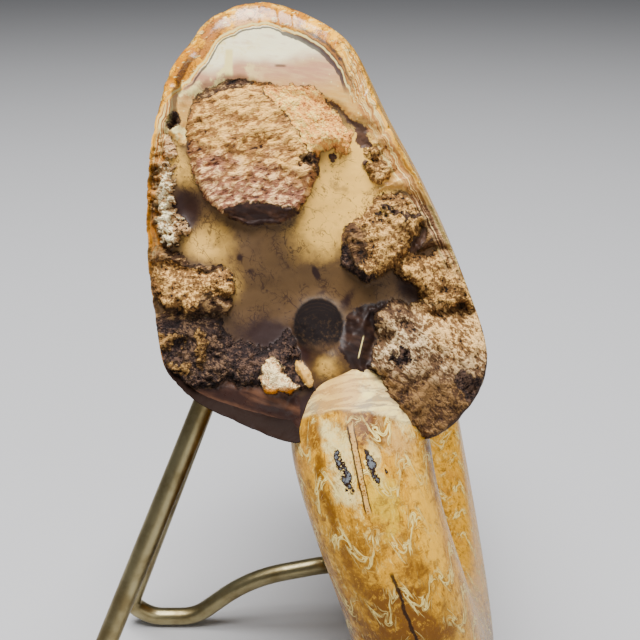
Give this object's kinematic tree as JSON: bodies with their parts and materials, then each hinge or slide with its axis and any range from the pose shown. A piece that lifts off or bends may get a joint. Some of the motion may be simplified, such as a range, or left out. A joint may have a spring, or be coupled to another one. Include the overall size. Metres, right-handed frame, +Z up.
{
  "type": "polished ammonite fossil",
  "caption": "Polished ammonite fossil, smooth coiled shell with a rough broken end showing a chamber wall, leaning upright on a small brass wire easel.",
  "frame": {"origin": "on the standing surface, under the middle of the whole object", "axes": "+Z up; the broken end of the shell faces -Y and up; the coil leans towards -X onto the easel, whose back feet are at -X"},
  "size_m": [0.0661, 0.0886, 0.1063],
  "materials": {
    "fossil_stone": "polished orange-brown stone with cream suture lines; the broken end is rough brown stone round a smooth tan chamber wall",
    "brass_wire": "bright pale gold wire"
  },
  "bodies": {
    "root": {"ammonite": "fossil_stone", "wire_easel": "brass_wire"}
  },
  "joints": []
}
